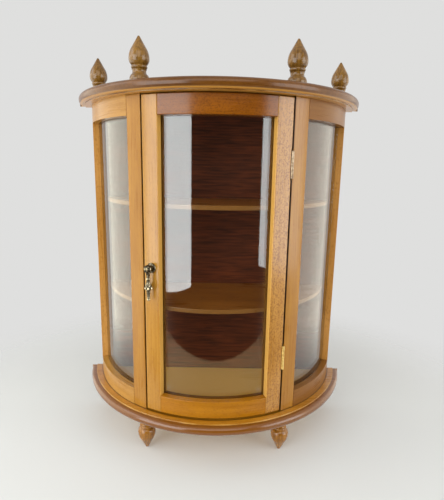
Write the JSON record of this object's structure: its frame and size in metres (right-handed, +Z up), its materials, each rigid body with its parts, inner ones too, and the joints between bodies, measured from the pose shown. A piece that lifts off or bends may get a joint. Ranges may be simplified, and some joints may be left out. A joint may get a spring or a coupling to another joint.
{
  "type": "display cabinet",
  "caption": "Half-round glazed tabletop display cabinet with a bowed hinged door, bent side glass, turned finials and feet, inner shelves and a swinging drop pull.",
  "frame": {"origin": "middle of the footprint at floor level", "axes": "+Z up, front of the cabinet towards -Y, +X to the right seen from the front"},
  "size_m": [0.2804, 0.115, 0.3692],
  "materials": {
    "honey_wood": "stained, satin lacquer",
    "turned_wood": "stained, gloss lacquer",
    "shelf_wood": "dark stain with a paler front edge",
    "dark_plywood": "dark red-brown stain",
    "glass": "clear bent glass",
    "brass": "bright",
    "dark_pull_metal": "antique, nearly black with rubbed high spots",
    "steel": "plain"
  },
  "bodies": {
    "cabinet": {"back_panel": "dark_plywood", "back_stile_left": "honey_wood", "back_stile_right": "honey_wood", "base_board": "honey_wood", "catch_block": "honey_wood", "catch_magnet": "steel", "finial_back_left": "turned_wood", "finial_back_right": "turned_wood", "finial_front_left": "turned_wood", "finial_front_right": "turned_wood", "foot_back_left": "turned_wood", "foot_back_right": "turned_wood", "foot_front_left": "turned_wood", "foot_front_right": "turned_wood", "hinge_screws_frame": "brass", "left_bottom_rail": "honey_wood", "left_glass": "glass", "left_strip_back": "honey_wood", "left_strip_bottom": "honey_wood", "left_strip_front": "honey_wood", "left_strip_top": "honey_wood", "left_top_rail": "honey_wood", "lower_hinge_frame_leaf": "brass", "lower_hinge_pin": "brass", "lower_shelf": "shelf_wood", "post_left": "honey_wood", "post_right": "honey_wood", "right_bottom_rail": "honey_wood", "right_glass": "glass", "right_strip_back": "honey_wood", "right_strip_bottom": "honey_wood", "right_strip_front": "honey_wood", "right_strip_top": "honey_wood", "right_top_rail": "honey_wood", "shelf_brads": "steel", "top_board": "honey_wood", "upper_hinge_frame_leaf": "brass", "upper_hinge_pin": "brass", "upper_shelf": "shelf_wood"},
    "door": {"catch_strike": "steel", "door_bottom_rail": "honey_wood", "door_glass": "glass", "door_stile_hinge": "honey_wood", "door_stile_latch": "honey_wood", "door_strip_bottom": "honey_wood", "door_strip_hinge": "honey_wood", "door_strip_latch": "honey_wood", "door_strip_top": "honey_wood", "door_top_rail": "honey_wood", "hinge_screws_door": "brass", "lower_hinge_door_leaf": "brass", "pull_knob": "dark_pull_metal", "pull_nut": "steel", "pull_pin": "dark_pull_metal", "pull_rosette": "dark_pull_metal", "upper_hinge_door_leaf": "brass"},
    "pull_drop": {"pull_drop": "dark_pull_metal"}
  },
  "joints": [
    {"name": "door_hinge", "type": "hinge", "parent": "cabinet", "child": "door", "pos_m": [0.06245, -0.03, 0.1846], "axis": [0, 0, 1], "range_deg": [0, 110]},
    {"name": "drop_swing", "type": "hinge", "parent": "door", "child": "pull_drop", "pos_m": [-0.05717, -0.0379, 0.176], "axis": [-0.9074, 0.4204, 0], "range_deg": [-4, 75]}
  ]
}
